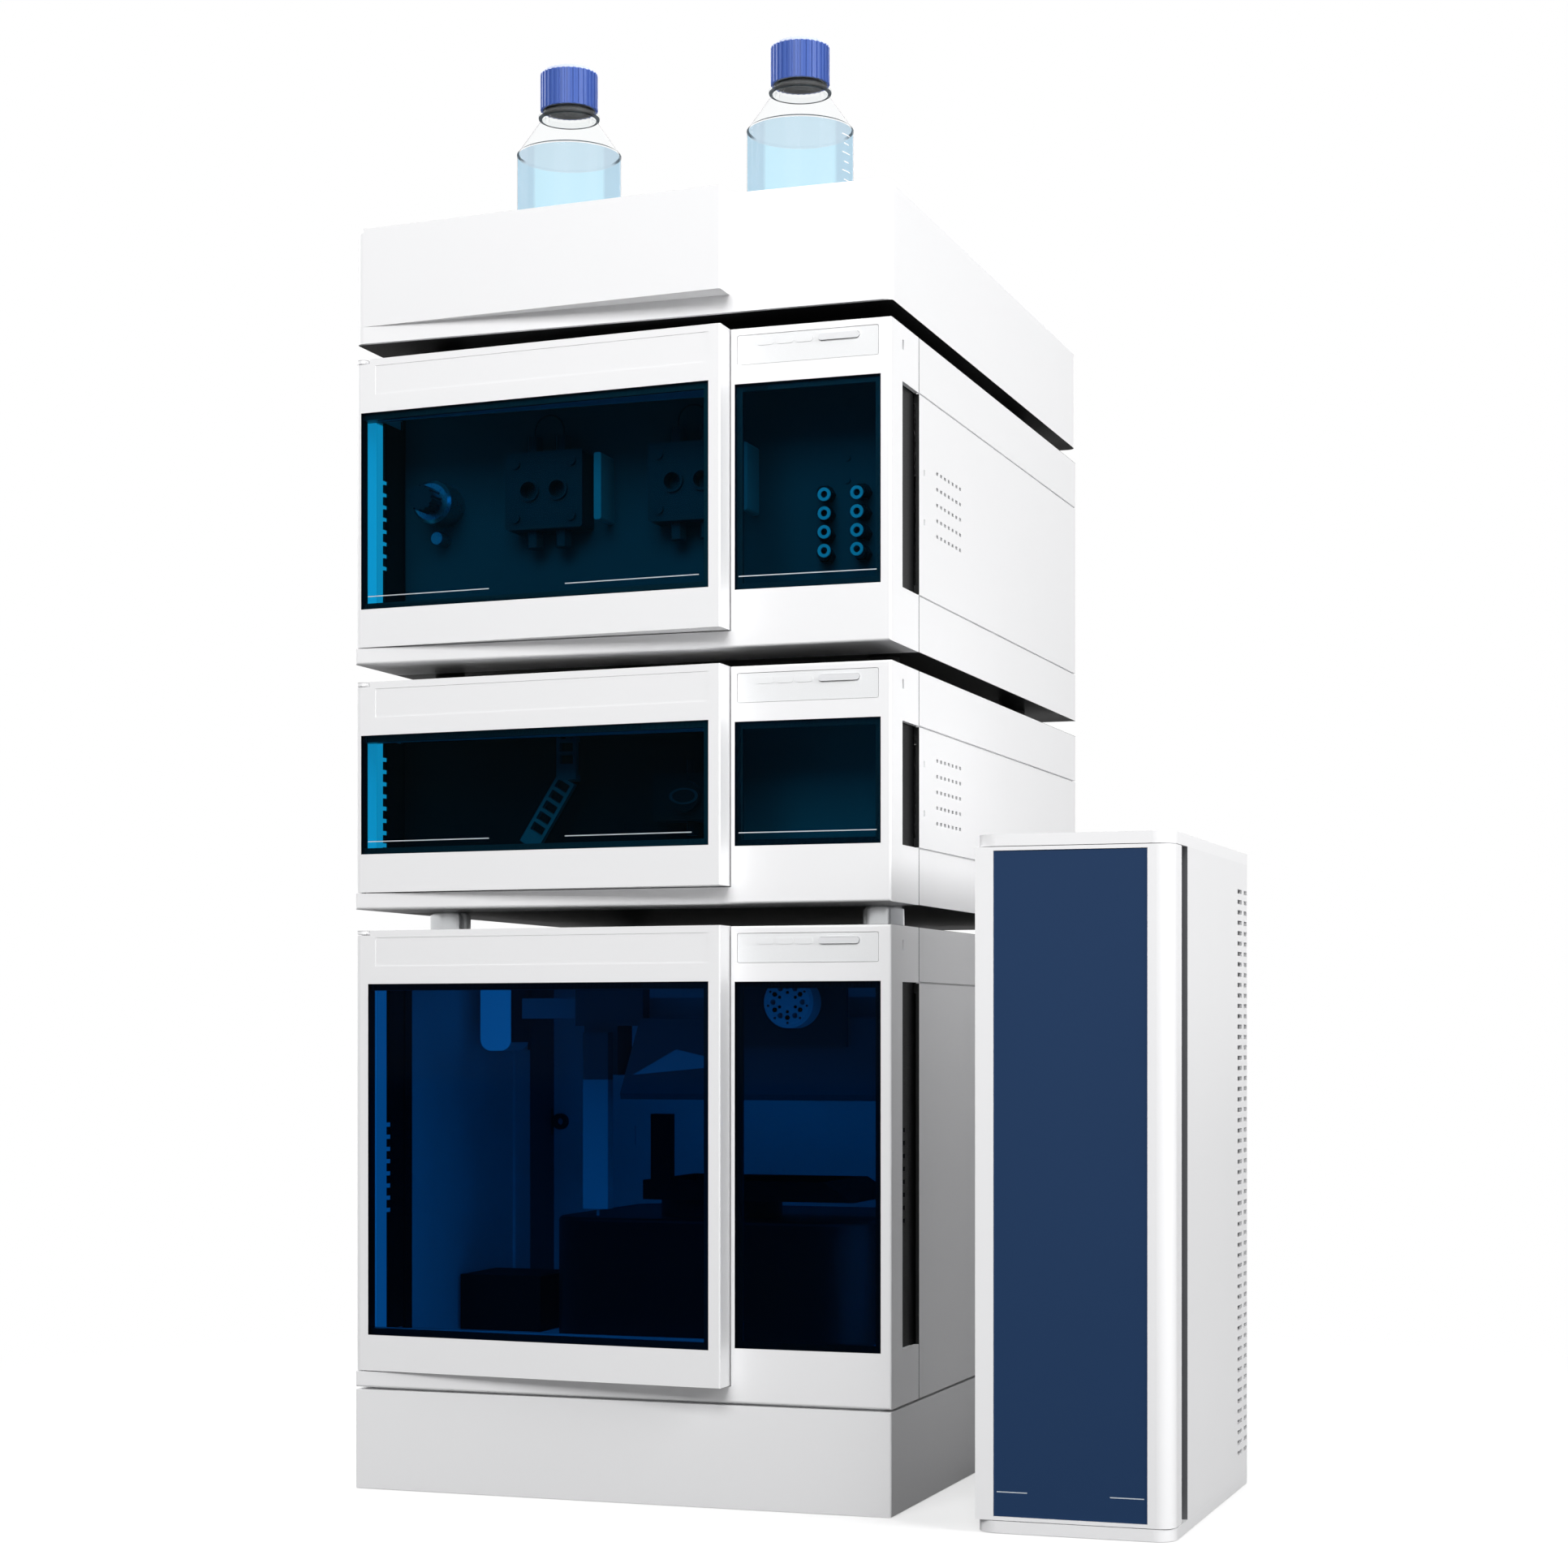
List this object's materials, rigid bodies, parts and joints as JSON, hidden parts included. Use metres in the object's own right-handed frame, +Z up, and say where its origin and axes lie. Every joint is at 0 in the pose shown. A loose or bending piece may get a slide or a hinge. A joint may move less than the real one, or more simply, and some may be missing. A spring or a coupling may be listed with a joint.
{
  "type": "hplc system",
  "caption": "Bench liquid chromatography set: stacked autosampler, detector and pump under an eluent tray with bottles, and a column thermostat beside it.",
  "frame": {"origin": "middle of the plinth's underside, on the bench", "axes": "+X to the right and +Y to the back as seen from the front of the stack, +Z up"},
  "size_m": [0.54, 0.513, 0.955],
  "materials": {
    "housing_white": "fine powder coat, satin",
    "moulding_white": "painted moulding, satin",
    "tray_white": "thermoformed, satin",
    "smoked_pane": "smoked teal acrylic, polished",
    "blue_pane": "deep blue acrylic, polished",
    "strip_white": "gloss membrane",
    "key_grey": "satin",
    "bay_dark": "dark grey powder coat",
    "bay_blue": "grey powder coat",
    "chassis_dark": "powder coat",
    "steel": "ground",
    "chrome_foot": "bright",
    "aluminium": "machined",
    "black_plastic": "fine grain",
    "white_plastic": "satin",
    "rubber": "matt",
    "bottle_glass": "clear borosilicate",
    "solvent": "clear pale blue liquid",
    "cap_blue": "satin polypropylene",
    "panel_navy": "gloss",
    "groove_grey": "satin"
  },
  "bodies": {
    "root": {"bottles": "bottle_glass", "column": "steel", "column_block": "aluminium", "degasser_ports": "black_plastic", "detector_bay": "bay_dark", "detector_chassis": "housing_white", "detector_feet": "chrome_foot", "detector_front_frame": "moulding_white", "detector_top_cover": "housing_white", "eluent_tray": "tray_white", "flow_cell": "steel", "head_clamps": "steel", "hinge_pins": "steel", "injection_valve": "steel", "light_guide": "black_plastic", "oven_bezel": "groove_grey", "oven_casing": "housing_white", "oven_end_plates": "moulding_white", "oven_side_panel": "housing_white", "plinth": "housing_white", "pouring_rings": "rubber", "pump_bay": "bay_dark", "pump_capillaries": "steel", "pump_chassis": "housing_white", "pump_front_frame": "moulding_white", "pump_heads": "steel", "pump_top_cover": "housing_white", "purge_valve": "steel", "rear_panels": "chassis_dark", "rear_sockets": "black_plastic", "right_windows": "smoked_pane", "rubber_feet": "rubber", "sample_compartment": "black_plastic", "sample_tray": "black_plastic", "sampler_bay": "bay_blue", "sampler_chassis": "housing_white", "sampler_front_frame": "moulding_white", "sampler_gantry": "bay_blue", "sampler_top_cover": "housing_white", "side_panels": "housing_white", "solvents": "solvent", "status_strips": "strip_white"},
    "sampler_door": {"sampler_door": "moulding_white", "sampler_door_window": "blue_pane"},
    "detector_door": {"detector_door": "moulding_white", "detector_door_window": "smoked_pane"},
    "pump_door": {"pump_door": "moulding_white", "pump_door_window": "smoked_pane"},
    "oven_door": {"oven_door": "moulding_white", "oven_door_panel": "panel_navy"},
    "sampler_key": {"sampler_standby_key": "key_grey"},
    "detector_key": {"detector_standby_key": "key_grey"},
    "pump_key": {"pump_standby_key": "key_grey"},
    "purge_knob": {"purge_knob": "black_plastic"},
    "needle_carriage": {"needle_carriage": "white_plastic"},
    "needle_unit": {"needle_unit": "white_plastic"},
    "seal_left": {"seal_left": "rubber"},
    "seal_right": {"seal_right": "rubber"},
    "cap_left": {"cap_left": "cap_blue"},
    "cap_right": {"cap_right": "cap_blue"}
  },
  "joints": [
    {"name": "sampler_door_hinge", "type": "hinge", "parent": "root", "child": "sampler_door", "pos_m": [-0.1765, -0.236, 0.212], "axis": [0, 0, -1], "range_deg": [0, 110]},
    {"name": "sampler_key_press", "type": "slide", "parent": "root", "child": "sampler_key", "axis": [0, 1, 0], "range_m": [0, 0.0008], "stiffness_N_per_m": 500, "springref_m": -0.001},
    {"name": "detector_door_hinge", "type": "hinge", "parent": "root", "child": "detector_door", "pos_m": [-0.1765, -0.236, 0.4459], "axis": [0, 0, -1], "range_deg": [0, 110]},
    {"name": "detector_key_press", "type": "slide", "parent": "root", "child": "detector_key", "axis": [0, 1, 0], "range_m": [0, 0.0008], "stiffness_N_per_m": 500, "springref_m": -0.001},
    {"name": "pump_door_hinge", "type": "hinge", "parent": "root", "child": "pump_door", "pos_m": [-0.1765, -0.236, 0.6287], "axis": [0, 0, -1], "range_deg": [0, 110]},
    {"name": "pump_key_press", "type": "slide", "parent": "root", "child": "pump_key", "axis": [0, 1, 0], "range_m": [0, 0.0008], "stiffness_N_per_m": 500, "springref_m": -0.001},
    {"name": "oven_door_hinge", "type": "hinge", "parent": "root", "child": "oven_door", "pos_m": [0.2465, -0.2526, 0.20475], "axis": [0, 0, -1], "range_deg": [0, 105]},
    {"name": "purge_turn", "type": "hinge", "parent": "root", "child": "purge_knob", "pos_m": [-0.1455, -0.205, 0.6404], "axis": [0, -1, 0], "range_deg": [0, 180]},
    {"name": "needle_across", "type": "slide", "parent": "root", "child": "needle_carriage", "axis": [-1, 0, 0], "range_m": [0, 0.05]},
    {"name": "needle_lift", "type": "slide", "parent": "needle_carriage", "child": "needle_unit", "axis": [0, 0, 1], "range_m": [0, 0.03]},
    {"name": "cap_left_rise", "type": "slide", "parent": "root", "child": "seal_left", "axis": [0, 0, 1], "range_m": [0, 0.008]},
    {"name": "cap_left_turn", "type": "hinge", "parent": "seal_left", "child": "cap_left", "pos_m": [-0.1005, -0.078, 0.94], "axis": [0, 0, 1], "range_deg": [0, 720]},
    {"name": "cap_right_rise", "type": "slide", "parent": "root", "child": "seal_right", "axis": [0, 0, 1], "range_m": [0, 0.008]},
    {"name": "cap_right_turn", "type": "hinge", "parent": "seal_right", "child": "cap_right", "pos_m": [0.0675, -0.078, 0.94], "axis": [0, 0, 1], "range_deg": [0, 720]}
  ],
  "couplings": [
    {"joint": "cap_left_rise", "follows": "cap_left_turn", "m_per_rad": 0.000636},
    {"joint": "cap_right_rise", "follows": "cap_right_turn", "m_per_rad": 0.000636}
  ]
}
